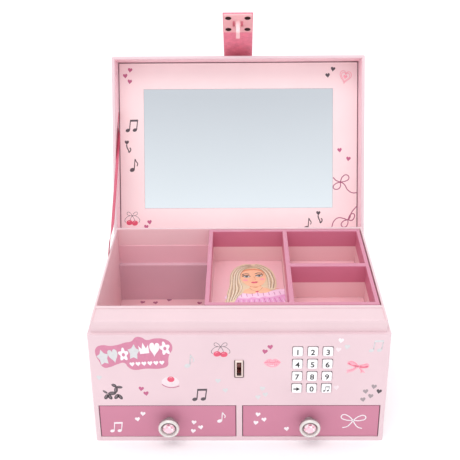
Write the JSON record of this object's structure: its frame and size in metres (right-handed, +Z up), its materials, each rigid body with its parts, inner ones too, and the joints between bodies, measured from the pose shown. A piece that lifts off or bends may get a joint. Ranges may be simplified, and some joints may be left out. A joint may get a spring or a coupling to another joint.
{
  "type": "jewellery box with code lock",
  "caption": "Lidded jewellery box with a mirror in the lid, lift-out tray, two drawers, keypad lock and a strap latch.",
  "frame": {"origin": "centre of the underside of the case", "axes": "+Z up, -Y out of the front with the drawers and keypad, +X to the right seen from the front"},
  "size_m": [0.28, 0.325, 0.3623],
  "materials": {
    "pale_card": "paper-wrapped board, printed pale pink, soft satin",
    "rose_card": "paper-wrapped board, dusty rose, soft satin",
    "tray_pink": "paper-wrapped board, light pink",
    "liner_pink": "paper lining, matt pink",
    "mirror_sheet": "mirror sheet",
    "pink_plastic": "moulded pink plastic",
    "key_white": "moulded white plastic with dark digits",
    "pearl_knob": "pearly plastic",
    "gem_pink": "faceted clear pink plastic",
    "strap_cloth": "rose leathercloth over board",
    "ribbon_satin": "satin ribbon",
    "hinge_cloth": "book-cloth hinge",
    "dark_steel": "darkened steel",
    "bright_steel": "zinc-plated steel",
    "board_green": "circuit board",
    "mat_rubber": "silicone rubber",
    "black_plastic": "moulded black plastic",
    "cell_label": "steel cell"
  },
  "bodies": {
    "case": {"base_shell": "pale_card", "front_panel": "pale_card", "neck_frame": "pale_card", "ledge_cover": "pale_card", "inner_front_wall": "pale_card", "drawer_deck": "liner_pink", "drawer_partition": "liner_pink", "drawer_runners": "liner_pink", "tray_rails": "liner_pink", "inner_liner": "liner_pink", "floor_card": "liner_pink", "hinge_tape_base": "hinge_cloth", "slot_bezel": "pink_plastic", "latch_housing": "black_plastic", "lock_solenoid": "dark_steel", "bolt_spring": "bright_steel", "control_board": "board_green", "key_mat": "mat_rubber", "board_screws": "bright_steel", "speaker": "black_plastic", "battery_box": "black_plastic", "battery_cells": "cell_label", "battery_door": "pink_plastic", "battery_door_screw": "bright_steel", "ribbon_stay": "ribbon_satin"},
    "tray": {"tray_frame": "rose_card", "tray_box": "tray_pink", "tray_floor_card": "tray_pink"},
    "bolt": {"latch_bolt": "bright_steel"},
    "lid": {"lid_shell": "pale_card", "lid_panel": "pale_card", "mirror": "mirror_sheet", "hinge_tape_lid": "hinge_cloth", "strap_anchor": "strap_cloth"},
    "strap": {"strap_flap": "strap_cloth", "latch_plate": "pink_plastic", "latch_tongue": "pink_plastic", "latch_screws": "dark_steel"},
    "left_drawer": {"left_drawer_front": "rose_card", "left_drawer_tray": "tray_pink", "left_knob_body": "pearl_knob", "left_knob_gem": "gem_pink", "left_knob_screw": "bright_steel"},
    "right_drawer": {"right_drawer_front": "rose_card", "right_drawer_tray": "tray_pink", "right_knob_body": "pearl_knob", "right_knob_gem": "gem_pink", "right_knob_screw": "bright_steel"},
    "key_1": {"key_1": "key_white"},
    "key_2": {"key_2": "key_white"},
    "key_3": {"key_3": "key_white"},
    "key_4": {"key_4": "key_white"},
    "key_5": {"key_5": "key_white"},
    "key_6": {"key_6": "key_white"},
    "key_7": {"key_7": "key_white"},
    "key_8": {"key_8": "key_white"},
    "key_9": {"key_9": "key_white"},
    "key_play": {"key_play": "key_white"},
    "key_0": {"key_0": "key_white"},
    "key_note": {"key_note": "key_white"}
  },
  "joints": [
    {"name": "lid_hinge", "type": "hinge", "parent": "case", "child": "lid", "pos_m": [0, 0.1, 0.123], "axis": [-1, 0, 0], "range_deg": [-112.3, 0], "deforming": ["ribbon_stay"]},
    {"name": "strap_fold", "type": "hinge", "parent": "lid", "child": "strap", "pos_m": [0, 0.20958, 0.29531], "axis": [-1, 0, 0], "range_deg": [-22.7, 100]},
    {"name": "left_drawer_slide", "type": "slide", "parent": "case", "child": "left_drawer", "axis": [0, -1, 0], "range_m": [0, 0.12]},
    {"name": "right_drawer_slide", "type": "slide", "parent": "case", "child": "right_drawer", "axis": [0, -1, 0], "range_m": [0, 0.12]},
    {"name": "tray_lift", "type": "slide", "parent": "case", "child": "tray", "axis": [0, 0, 1], "range_m": [0, 0.06]},
    {"name": "bolt_slide", "type": "slide", "parent": "case", "child": "bolt", "axis": [-1, 0, 0], "range_m": [0, 0.005], "stiffness_N_per_m": 60, "springref_m": -0.003, "deforming": ["bolt_spring"]},
    {"name": "key_1_press", "type": "slide", "parent": "case", "child": "key_1", "axis": [0, 1, 0], "range_m": [0, 0.0012], "stiffness_N_per_m": 60, "springref_m": -0.0005},
    {"name": "key_2_press", "type": "slide", "parent": "case", "child": "key_2", "axis": [0, 1, 0], "range_m": [0, 0.0012], "stiffness_N_per_m": 60, "springref_m": -0.0005},
    {"name": "key_3_press", "type": "slide", "parent": "case", "child": "key_3", "axis": [0, 1, 0], "range_m": [0, 0.0012], "stiffness_N_per_m": 60, "springref_m": -0.0005},
    {"name": "key_4_press", "type": "slide", "parent": "case", "child": "key_4", "axis": [0, 1, 0], "range_m": [0, 0.0012], "stiffness_N_per_m": 60, "springref_m": -0.0005},
    {"name": "key_5_press", "type": "slide", "parent": "case", "child": "key_5", "axis": [0, 1, 0], "range_m": [0, 0.0012], "stiffness_N_per_m": 60, "springref_m": -0.0005},
    {"name": "key_6_press", "type": "slide", "parent": "case", "child": "key_6", "axis": [0, 1, 0], "range_m": [0, 0.0012], "stiffness_N_per_m": 60, "springref_m": -0.0005},
    {"name": "key_7_press", "type": "slide", "parent": "case", "child": "key_7", "axis": [0, 1, 0], "range_m": [0, 0.0012], "stiffness_N_per_m": 60, "springref_m": -0.0005},
    {"name": "key_8_press", "type": "slide", "parent": "case", "child": "key_8", "axis": [0, 1, 0], "range_m": [0, 0.0012], "stiffness_N_per_m": 60, "springref_m": -0.0005},
    {"name": "key_9_press", "type": "slide", "parent": "case", "child": "key_9", "axis": [0, 1, 0], "range_m": [0, 0.0012], "stiffness_N_per_m": 60, "springref_m": -0.0005},
    {"name": "key_play_press", "type": "slide", "parent": "case", "child": "key_play", "axis": [0, 1, 0], "range_m": [0, 0.0012], "stiffness_N_per_m": 60, "springref_m": -0.0005},
    {"name": "key_0_press", "type": "slide", "parent": "case", "child": "key_0", "axis": [0, 1, 0], "range_m": [0, 0.0012], "stiffness_N_per_m": 60, "springref_m": -0.0005},
    {"name": "key_note_press", "type": "slide", "parent": "case", "child": "key_note", "axis": [0, 1, 0], "range_m": [0, 0.0012], "stiffness_N_per_m": 60, "springref_m": -0.0005}
  ]
}
